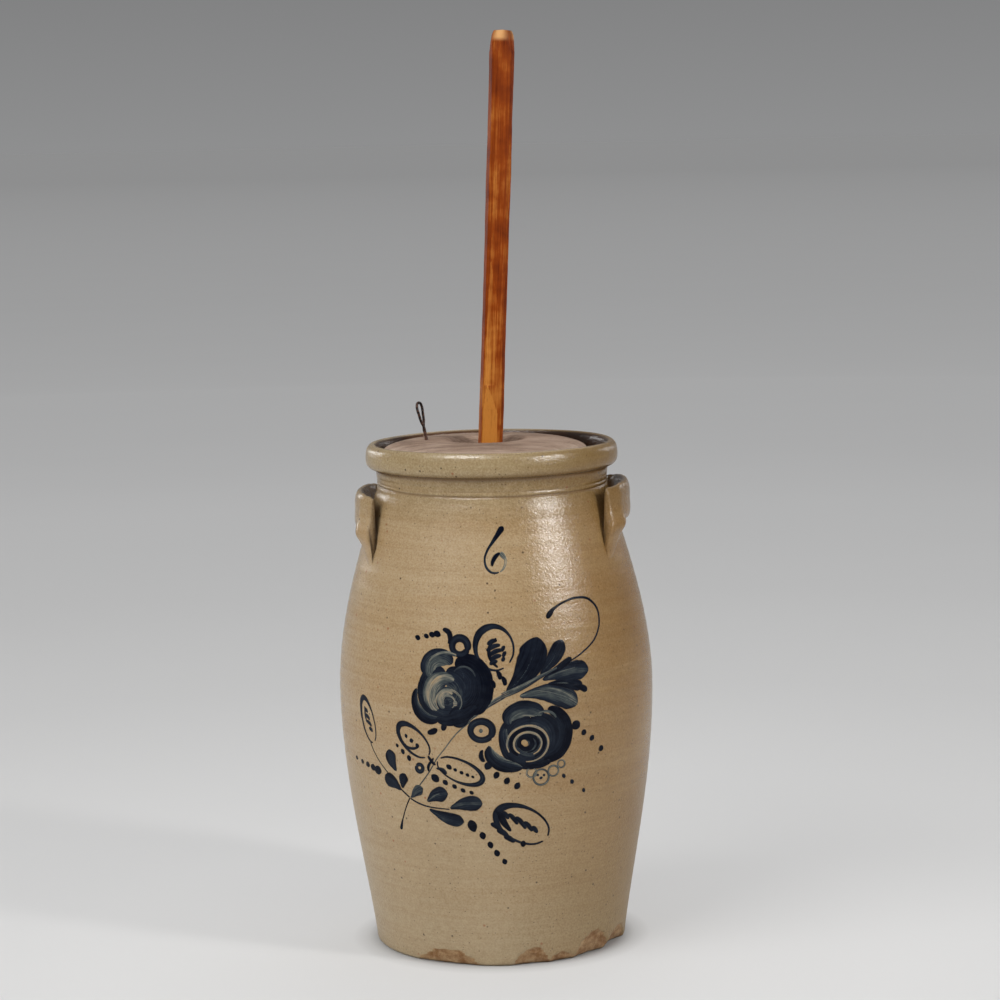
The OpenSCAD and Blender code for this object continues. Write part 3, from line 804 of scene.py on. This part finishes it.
def paint_dots(material):
    """Berries and rows of dots."""
    work = Brushwork("cobalt_dots", 0.008)
    for arc, z, half in ((-75, 314.5, 2.4), (-66, 316.5, 2.2), (-60, 318, 2.6), (-55, 319, 3.0)):
        work.dot(arc, z, half, 0.97, 1.2)
    work.arc_stroke((-48.5, 316), (6.5, 7), 100, -52, (1.6, 2.7, 2.6, 1.0), (0.96, 1.0), pitch=0.6)
    work.ring(-33, 308.5, 7.4, 3.3, 1.0)
    work.ring(-35.5, 243.5, 6.6, 3.5, 1.0, 0.95)
    work.ring(-14.5, 231, 10.2, 3.2, 0.97, 0.86)
    work.dot(-15, 231, 1.8, 0.45)
    work.ring(-76, 193, 3.4, 2.0, 0.9)
    work.stroke([(-67, 227, 1.8), (-61, 229, 3.0), (-56.5, 231.5, 2.0)], (0.98, 0.95), pitch=0.6)
    work.stroke([(-51.5, 230, 1.8), (-50, 234, 2.8), (-48.5, 237.5, 1.8)], (0.98, 0.95), pitch=0.6)
    for arc, z, half in ((-167, 190, 2.0), (-155, 188.5, 2.3), (-145, 187.5, 2.7), (-136, 186, 3.2),
                         (-128.5, 184.5, 4.2)):
        work.dot(arc, z, half, 0.93, 1.3)
    for arc, z, half in ((-101, 212, 1.6), (-94.5, 207, 2.2), (-87.5, 201.5, 2.4)):
        work.dot(arc, z, half, 0.95, 0.5)
    for arc, z, half in ((-60, 184.5, 3.6), (-50, 181, 2.4), (-41, 177.5, 2.1), (-33, 174, 2.0),
                         (-25, 172, 1.8)):
        work.dot(arc, z, half, 0.95, 0.9)
    work.dot(-25, 140, 5.0, 0.97, 0.4, 0.15)
    for arc, z, half in ((-15.5, 130.5, 3.0), (-8.5, 121.5, 2.7), (-2.5, 113, 2.7), (4.5, 104.5, 2.4)):
        work.dot(arc, z, half, 0.97, 0.3)
    work.arc_stroke((-10, 208), (5.5, 6.5), 130, 250, (1.0, 2.4, 1.6), (0.97, 0.9), pitch=0.6)
    for arc, z, half in ((-9, 198, 3.4), (-1.5, 189, 2.8), (8, 183, 2.8), (17.5, 178, 2.8)):
        work.dot(arc, z, half, 0.97, -0.5)
    for arc, z, half in ((76, 231, 3.6), (84.5, 223, 2.3), (93.5, 216.5, 2.2), (104.5, 205, 2.4)):
        work.dot(arc, z, half, 0.92, -0.9, 0.6)
    for arc, z, half in ((62.5, 184, 1.9), (71, 177.5, 1.9), (83.5, 167.5, 1.8)):
        work.dot(arc, z, half, 0.8, 0.4)
    return work.piece(material)


# ---------------------------------------------------------------- wood

def wood_material(name, dark, middle, pale, tilt, grain_scale, roughness, wear_pale=None, lengthwise="Z",
                  bump=0.00035,
                  blotch=0.12):
    """Long-grained wood. tone, where the mesh holds it, shifts the colour from dark to pale."""
    n = Nodes(name)
    fine = {"Z": (grain_scale, grain_scale, grain_scale * 0.025),
            "X": (grain_scale * 0.03, grain_scale, grain_scale)}
    grain = n.noise(n.position(fine[lengthwise], tilt), 1.0, 5.0, 0.65)
    pores = n.noise(n.position(tuple(3.2 * k for k in fine[lengthwise]), tilt), 1.0, 3.0, 0.6)
    wide = n.noise(n.position(tuple(0.16 * k for k in fine[lengthwise]), tilt), 1.0, 3.0, 0.5, 0.4)
    patches = n.noise(n.position(), 34.0, 3.0, 0.6)
    tone = n.attribute("tone")
    level = n.math("ADD", tone, n.range(wide, 0.3, 0.7, -0.17, 0.17))
    level = n.math("ADD", level, n.range(grain, 0.3, 0.7, -0.20, 0.20))
    level = n.math("ADD", level, n.range(patches, 0.35, 0.65, -blotch, blotch), clamp=True)
    colour = n.ramp(level, [(0.0, dark), (0.5, middle), (1.0, pale)])
    colour = n.mix(n.range(pores, 0.42, 0.30, 0.0, 0.55), colour, tuple(0.45 * k for k in dark))
    if wear_pale:
        colour = n.mix(n.attribute("wear"), colour, wear_pale)
    surface = n.math("ADD", n.math("MULTIPLY", grain, 1.0), n.math("MULTIPLY", pores, 0.5))
    gloss = n.range(grain, 0.3, 0.7, roughness - 0.06, roughness + 0.08)
    return n.finish(Base_Color=colour, Roughness=gloss, IOR=1.14, Normal=n.bump(surface, bump, 0.7))


LID_X = -6.3
LID_R = 100.0
PLUG_R = 81.5
HOLE_R = 19.2
RIDGE_R = 42.0
RIDGE_Z = CROCK_H + 2
LID_EDGE_Z = SEAT_Z + 8
DISH_Z = CROCK_H - 7
lid_warp = noise_field(21, 8, (2, 90.0))
lid_hollow = noise_field(22, 9, (3, 60.0))


def lid_top(radius):
    """Height of the lid's turned face: a low dome, a ring round the hole and a splash dish."""
    t = np.clip((LID_R - 2 - radius) / (LID_R - 2 - RIDGE_R), 0, 1)
    dome = LID_EDGE_Z + (RIDGE_Z - LID_EDGE_Z) * np.sqrt(1 - (1 - t) ** 2.4)
    q = np.clip((RIDGE_R - radius) / (RIDGE_R - HOLE_R - 1), 0, 1)
    return np.where(radius > RIDGE_R, dome, RIDGE_Z - (RIDGE_Z - DISH_Z) * (1 - np.cos(math.pi * q)) / 2)


# Shrinkage checks along the lid's grain: x from, x to, y, depth, all in millimetres from the lid's axis.
LID_CHECKS = [(-88, -30, -31, 0.9), (10, 80, -47, 0.7), (-64, 8, 53, 0.8), (34, 92, 18, 1.0),
              (-96, -60, 8, 0.7),
              (-20, 58, 74, 0.6), (-50, 20, -72, 0.6)]


def lid_piece(material):
    columns = 480
    azimuth = np.linspace(0, TURN, columns, endpoint=False)
    rows, tone, wear = [], [], []

    def add_row(radius, z, top=False, tone_here=0.5):
        ring = radius * (1 + 0.0035 * np.sin(2 * azimuth + 0.4)) if top else radius + 0 * azimuth
        x, y = ring * np.sin(azimuth), -ring * np.cos(azimuth)
        height = z + 0 * azimuth
        if top:
            ridges = 0.16 * np.sin(y * 1.9 + 1.5 * np.sin(x / 41.0) + 2.0 * np.sin(y / 9.0))
            ridges = ridges + 0.10 * np.sin(y * 3.7 + 1.1 * np.sin(x / 23.0))
            height = height + ridges + 0.35 * lid_warp(azimuth, radius) - 0.35
            for x_from, x_to, y_at, deep in LID_CHECKS:
                wander = y_at + 1.3 * np.sin(x / 13.0) + 0.6 * np.sin(x / 4.1)
                length = smooth((x - x_from) / 14) * smooth((x_to - x) / 14)
                height = height - deep * length * np.exp(-((y - wander) / 0.75) ** 2)
        rows.append(np.stack([LID_X + x, y, height], axis=-1))
        tone.append(tone_here + 0.10 * lid_hollow(azimuth, radius))
        wear.append(0 * azimuth)

    plug_z = SEAT_Z - 10
    for z in np.linspace(DISH_Z - 1.2, plug_z + 1, 8):
        add_row(HOLE_R + 0.25, z, tone_here=0.3)
    add_row(HOLE_R + 1.2, plug_z, tone_here=0.4)
    for radius in np.linspace(26, PLUG_R - 2, 16):
        add_row(radius, plug_z, tone_here=0.45)
    for radius, z in ((PLUG_R - 0.9, plug_z), (PLUG_R, plug_z + 1), (PLUG_R, SEAT_Z - 1),
                      (PLUG_R + 0.5, SEAT_Z + 0.2),
                      (PLUG_R + 8, SEAT_Z + 0.2), (LID_R - 1.2, SEAT_Z + 0.2), (LID_R - 0.3, SEAT_Z + 1.0)):
        add_row(radius, z, tone_here=0.4)
    for z in np.linspace(SEAT_Z + 2, LID_EDGE_Z - 2.2, 4):
        add_row(LID_R + 0 * z, z, tone_here=0.45)
    add_row(LID_R - 0.5, LID_EDGE_Z - 0.9, tone_here=0.6)
    for radius in np.concatenate([np.linspace(LID_R - 1.6, RIDGE_R, 54),
                                  np.linspace(RIDGE_R - 0.9, HOLE_R + 1.3, 24)]):
        add_row(radius, float(lid_top(radius)), top=True,
                tone_here=0.55 + 0.20 * float(smooth((radius - 84) / 12)))
    add_row(HOLE_R + 0.5, DISH_Z - 0.6, tone_here=0.35)
    rows.append(rows[0])
    tone.append(tone[0])
    wear.append(wear[0])
    shape = np.concatenate(rows[:-1])
    faces = grid_faces(len(rows) - 1, columns)
    last = (len(rows) - 2) * columns
    faces += [[last + c, last + (c + 1) % columns, (c + 1) % columns, c] for c in range(columns)]
    return mesh_object("churn_lid", shape, faces, material, "lid", "lid",
                       {"tone": np.concatenate(tone[:-1]), "wear": np.concatenate(wear[:-1])})


# ---------------------------------------------------------------- staff

STAFF_L = 854.0
STAFF_W = 22.0
CORNER_W = 25.5
STAFF_TURN = 12.0
ARM_T = 18.0
CROSS_L = 150.0
STAFF_FOOT = Vector((-24.0, 0.0, FLOOR_T + 0.5 + CROSS_L / 2 * math.sin(LEAN)))

# Drawknife cuts: facing in degrees about the staff, height where each starts and ends, how deep, how pale.
STAFF_CUTS = [(-91, 455, 524, 3.0, 0.95), (-92, 518, 655, 2.4, 0.68), (-45, 560, 780, 0.9, 0.45),
              (150, 500, 700, 1.4, 0.6), (60, 620, 800, 1.2, 0.55), (-150, 640, 840, 0.8, 0.5),
              (100, 300, 560, 1.0, 0.5)]


def leaned(points):
    """From the staff's own frame, upright on its foot, to the row's frame."""
    turn = np.array(Matrix.Rotation(LEAN, 3, "Y"))
    return np.asarray(points) @ turn.T + np.array(STAFF_FOOT)


# Tone of each facet, from facing +X round towards +Y: partly a difference between the cut faces, partly
# painted light and shade, with the front facet paler and the front-right and right facets darker.
FACET_TONES_AND_SHADE = [0.26, 0.42, 0.50, 0.45, 0.30, 0.38, 0.53, 0.24]


def staff_piece(material):
    columns = 112
    angle = np.linspace(0, TURN, columns, endpoint=False)
    heights = np.concatenate([np.linspace(ARM_T, 440, 110), np.linspace(441.5, STAFF_L - 24, 250),
                              np.linspace(STAFF_L - 23.5, STAFF_L - 1.2, 30)])
    planes = []
    for i in range(8):
        facing = math.radians(STAFF_TURN + 45 * i)
        distance = STAFF_W / 2 if i % 2 == 0 else CORNER_W / 2
        sway = noise_field(40 + i, 5, (1, 150.0))
        planes.append((facing, distance, sway, FACET_TONES_AND_SHADE[i]))
    rows, tone, wear = [], [], []
    scallop = noise_field(60, 12, (5, 26.0))
    for h in heights:
        reach, kind = [], []
        for i, (facing, distance, sway, pale) in enumerate(planes):
            d = distance - 0.35 + 0.35 * float(sway(0.0, h))
            reach.append(d / np.maximum(np.cos(angle - facing), 0.05))
            kind.append(pale)
        for facing_deg, low, high, deep, pale in STAFF_CUTS:
            t = (h - low) / (high - low)
            if 0 < t < 1:
                bite = deep * math.sin(math.pi * t) ** 0.5 if deep < 2 else deep * min(1.0,
                        (1 - t) * 2.2) ** 0.7
                d = CORNER_W / 2 + 0.6 - bite - 0.6
                reach.append(d / np.maximum(np.cos(angle - math.radians(facing_deg)), 0.05))
                kind.append(pale)
        reach = np.array(reach)
        which = reach.argmin(0)
        radius = -np.log(np.exp(-reach * 3.2).sum(0)) / 3.2
        radius = radius + 0.10 * scallop(angle, h)
        top = h - (STAFF_L - 21)
        worn = 0.0
        if top > 0:
            cap = STAFF_W / 2 + 1.2 - 2.6 * (top / 21) - 2.2 * max(0.0, (top - 14) / 7) ** 2
            radius = np.minimum(radius, cap + 0.25 * scallop(angle * 2, h))
            worn = float(smooth((top - 9) / 5))
        rows.append(np.stack([radius * np.cos(angle), radius * np.sin(angle), 0 * angle + h], axis=-1))
        base = np.array(kind)[which]
        place = 0.30 * math.exp(-((h - 470) / 45) ** 2) + 0.08 * math.sin(h / 37)
        place = place - 0.05 * smooth((h - 655) / 30) * (1 - smooth((h - 760) / 60))
        tone.append(base + place)
        wear.append(0 * angle + worn * (0.55 + 0.45 * np.sin(angle * 3 + 1)))
    low = np.concatenate([[[0.0, 0.0, ARM_T]], [[0.0, 0.0, STAFF_L - 0.4]]])
    points = np.concatenate([*rows, low])
    count = len(heights)
    faces = grid_faces(count, columns)
    bottom, crown = count * columns, count * columns + 1
    faces += [[bottom, (c + 1) % columns, c] for c in range(columns)]
    faces += [[crown, (count - 1) * columns + c,
               (count - 1) * columns + (c + 1) % columns] for c in range(columns)]
    values = {"tone": np.concatenate([*tone, [0.4, 0.8]]), "wear": np.concatenate([*wear, [0, 0.9]])}
    return mesh_object("churn_staff", leaned(points), faces, material, "dasher", None, values)


# ---------------------------------------------------------------- lifting eye

def iron_material():
    n = Nodes("iron wire")
    rust = n.noise(n.position(), 420.0, 4.0, 0.7)
    low = n.range(n.height(), 0.497, 0.486)
    amount = n.math("ADD", n.range(rust, 0.46, 0.66), n.math("MULTIPLY", low, 0.55), clamp=True)
    colour = n.mix(amount, (0.018, 0.016, 0.016), (0.10, 0.035, 0.015))
    metal = n.range(amount, 0.2, 0.8, 0.85, 0.1)
    return n.finish(Base_Color=colour, Metallic=metal, Roughness=n.range(amount, 0, 1, 0.38, 0.8),
                    Normal=n.bump(rust, 0.0004, 0.9))


WIRE_R = 1.0
WIRE_GAP = 2.3
WIRE_X = -55.3
WIRE_LEAN = -11.0
WIRE_TURN = 58.0
WIRE_FOOT_Z = RIDGE_Z - 1.2
EYE_R = 4.3
EYE_Z = 31.0


def tube(path, radius, sides):
    """Points and faces of a closed tube along a path."""
    path = np.asarray(path, float)
    along = unit(np.gradient(path, axis=0))
    side = np.zeros_like(path)
    side[0] = unit(np.cross(along[0], [0.31, 0.9, 0.2]))
    for i in range(1, len(path)):
        side[i] = unit(side[i - 1] - (side[i - 1] @ along[i]) * along[i])
    other = np.cross(along, side)
    turns = np.linspace(0, TURN, sides, endpoint=False)
    radius = np.broadcast_to(radius, (len(path),))
    ring = side[:, None] * np.cos(turns)[None, :, None] + other[:, None] * np.sin(turns)[None, :, None]
    points = (path[:, None] + ring * radius[:, None, None]).reshape(-1, 3)
    faces = grid_faces(len(path), sides)
    faces.append(list(range(sides))[::-1])
    faces.append([(len(path) - 1) * sides + i for i in range(sides)])
    return points, faces


def wire_piece(material):
    tail = -(WIRE_FOOT_Z - SEAT_Z + 10) / math.cos(math.radians(WIRE_LEAN)) - WIRE_R - 1.6
    half = WIRE_GAP / 2
    leg = [(half + 11.5, 0.0, tail - 0.5), (half + 5, 0.2, tail - 0.2), (half + 1.2, 0.0, tail + 1.4),
           (half, 0.0, tail + 5),
           (half, 0.0, -14), (half, 0.0, -4), (half - 0.1, 0.5, 4), (half - 0.5, 0.9, 10), (half, 0.5, 15),
           (half + 1.7, 0.2, 20), (EYE_R * 0.86, 0.1, EYE_Z - 4.5), (EYE_R, 0.0, EYE_Z + 0.5),
           (EYE_R * 0.72, -0.1, EYE_Z + 4.8)]
    back = [(-x, -y, z) for x, y, z in leg[::-1]]
    path = catmull(leg + [(0.0, 0.0, EYE_Z + 6.3)] + back, 190)
    points, faces = tube(path, WIRE_R + 0.3 + 0.05 * np.sin(np.arange(190) * 0.9), 14)
    turn = Matrix.Rotation(math.radians(WIRE_LEAN), 3, "Y") @ Matrix.Rotation(math.radians(WIRE_TURN), 3, "Z")
    points = points @ np.array(turn).T + np.array([LID_X + WIRE_X, 0, WIRE_FOOT_Z])
    return mesh_object("lid_wire_eye", points, faces, material, "lid", "lid_lift_wire")


# ---------------------------------------------------------------- make the object

stoneware = stoneware_material()
cobalt = cobalt_material()
lid_wood = wood_material("weathered lid wood", (0.10, 0.06, 0.042), (0.28, 0.195, 0.145), (0.46, 0.35, 0.275),
                         0.0, 620.0, 0.72,
                         lengthwise="X", bump=0.0006)
staff_wood = wood_material("rubbed staff wood", (0.085, 0.009, 0.001), (0.235, 0.042, 0.003),
                           (0.50, 0.19, 0.034), LEAN, 900.0, 0.5,
                           wear_pale=(0.62, 0.33, 0.13), blotch=0.2)
cross_wood = wood_material("scrubbed cross wood", (0.22, 0.14, 0.08), (0.46, 0.33, 0.20), (0.60, 0.47, 0.31),
                           LEAN, 700.0, 0.7,
                           lengthwise="X")
iron = iron_material()

crock_piece(stoneware)
lug_piece("churn_lug_right", "right_lug_handle", LUG_TURN, LUG_TOP_Z, 31, stoneware)
lug_piece("churn_lug_left", "left_lug_handle", math.pi + LUG_TURN, LUG_TOP_Z - LUG_DROP, 32, stoneware)
paint_numeral(cobalt)
paint_blossoms(cobalt)
paint_leaves(cobalt)
paint_lines(cobalt)
paint_dots(cobalt)
lid_piece(lid_wood)
wire_piece(iron)
staff = staff_piece(staff_wood)
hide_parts("dasher_staff")
for node in ("cross_arm_lower", "cross_arm_upper", "tenon_wedge"):
    frame["nodes"][node].data.materials.clear()
    frame["nodes"][node].data.materials.append(cross_wood)
frame["nodes"]["lap_pegs"].data.materials.clear()
frame["nodes"]["lap_pegs"].data.materials.append(staff_wood)


# ---------------------------------------------------------------- floor, light and camera

def floor_material():
    """Graded studio paper: pale round the object, and easing to grey far behind it. The paper glows, painting
    light that softens the shadows, and is dark under the foot as a painted contact shadow.
    """
    n = Nodes("pale floor")
    away = n.add("ShaderNodeVectorMath", {0: n.position()}, operation="LENGTH").outputs["Value"]
    shade = n.noise(n.position(), 2.0, 3.0, 0.5)
    near = n.ramp(n.range(away, 0.5, 6.5),
                  [(0.0, (0.37, 0.37, 0.37)), (0.22, (0.45, 0.45, 0.45)), (0.48, (0.54, 0.54, 0.54)),
                                            (1.0, (0.565, 0.565, 0.565))])
    paper = n.mix(n.math("POWER", n.range(away, 6.5, 60.0), 0.4), near, (0.395, 0.395, 0.395))
    paper = n.mix(n.range(shade, 0.3, 0.7, 0.0, 0.03), paper, (0.3, 0.3, 0.3))
    # Painted light: the floor's emission is strongest near the object and fades far off. There is none within
    # about 118 mm of the middle, which paints a contact shadow under the foot.
    reach = n.math("POWER", n.range(away, 0.0, 60.0), 0.4)
    glow_levels_and_foot_shadow = [(0.0, 0.0), (0.0826, 0.0), (0.0875, 0.31), (0.135, 0.31), (0.173, 0.270), (0.218, 0.206),
              (0.266, 0.178),
              (0.323, 0.186), (0.40, 0.171), (0.52, 0.152), (0.727, 0.136), (1.0, 0.121)]
    floor_glow_light = n.ramp(reach, [(place, (level, level, level)) for place, level in glow_levels_and_foot_shadow])
    return n.finish(Base_Color=paper, Roughness=0.9, Emission_Color=floor_glow_light, Emission_Strength=1.0)


def make_floor():
    size = 400.0
    mesh = bpy.data.meshes.new("floor")
    mesh.from_pydata([(-size, -size, 0), (size, -size, 0), (size, size, 0), (-size, size, 0)], [],
                     [[0, 1, 2, 3]])
    mesh.materials.append(floor_material())
    floor = bpy.data.objects.new("floor", mesh)
    bpy.context.scene.collection.objects.link(floor)


def area_light(name, azimuth, elevation, distance, size, power, aim, colour=(1, 1, 1), diffuse=True,
               glossy=True):
    """A soft box that faces the object, standing at an azimuth and elevation seen from the aim point."""
    light = bpy.data.lights.new(name, "AREA")
    light.shape = "RECTANGLE"
    light.size, light.size_y = size
    light.energy = power
    light.color = colour
    lamp = bpy.data.objects.new(name, light)
    a, e = math.radians(azimuth), math.radians(elevation)
    way = Vector((math.sin(a) * math.cos(e), -math.cos(a) * math.cos(e), math.sin(e)))
    lamp.location = aim + way * distance
    lamp.rotation_mode = "QUATERNION"
    lamp.rotation_quaternion = way.to_track_quat("Z", "Y")
    lamp.visible_camera, lamp.visible_diffuse, lamp.visible_glossy = False, diffuse, glossy
    bpy.context.scene.collection.objects.link(lamp)


def make_light():
    middle = Vector((0, 0, 0.35))
    area_light("strip", 56, 27, 2.3, (0.24, 0.85), 25, middle, (1.0, 0.98, 0.95))
    area_light("strip glint", 56, 27, 2.3, (0.11, 0.8), 19, middle, diffuse=False)
    area_light("left", -48, 32, 2.9, (2.2, 1.8), 61, middle, (1.0, 0.99, 0.97), glossy=False)
    area_light("left glint", -48, 32, 2.9, (2.2, 1.8), 14, middle)
    area_light("high glint", -38, 60, 2.6, (1.1, 0.8), 62, middle, diffuse=False)
    area_light("left edge glint", -136, 12, 2.4, (0.35, 0.28), 6, middle, diffuse=False)
    area_light("right edge glint", 137, 12, 2.4, (0.25, 0.28), 2.5, middle, diffuse=False)
    area_light("behind", 165, 50, 2.8, (1.8, 1.4), 12, middle)
    world = bpy.data.worlds.new("studio")
    world.use_nodes = True
    nodes, links = world.node_tree.nodes, world.node_tree.links
    way = nodes.new("ShaderNodeTexCoord")
    split = nodes.new("ShaderNodeSeparateXYZ")
    blend = nodes.new("ShaderNodeValToRGB")
    band = blend.color_ramp
    band.elements.new(0.5)
    for element, (place, level) in zip(band.elements, ((0.0, 0.275), (0.06, 0.215), (0.9, 0.40))):
        element.position = place
        element.color = (0.985 * level, 0.99 * level, level, 1)
    links.new(way.outputs["Generated"], split.inputs[0])
    links.new(split.outputs["Z"], blend.inputs["Fac"])
    links.new(blend.outputs["Color"], nodes["Background"].inputs["Color"])
    bpy.context.scene.world = world
    bpy.context.scene.view_settings.view_transform = "Standard"


CAMERA_BACK = 2.787
CAMERA_RISE = 0.287
CAMERA_PITCH = 7.05
CAMERA_ROLL = 1.20
FOCAL_SHARE = 2.928
SHIFT_X = 0.0076


def make_camera():
    """The camera stands in front of the painted side, a little over the rim, and looks slightly down."""
    data = bpy.data.cameras.new("camera")
    data.sensor_width = 36.0
    data.lens = FOCAL_SHARE * data.sensor_width
    data.shift_x = SHIFT_X
    camera = bpy.data.objects.new("camera", data)
    bpy.context.scene.collection.objects.link(camera)
    level = Matrix.Rotation(math.radians(90 - CAMERA_PITCH), 3, "X")
    camera.rotation_euler = (level @ Matrix.Rotation(math.radians(-CAMERA_ROLL), 3, "Z")).to_euler()
    camera.location = (0, -CAMERA_BACK, CROCK_H * MM + CAMERA_RISE)
    bpy.context.scene.camera = camera


make_camera()
make_floor()
make_light()
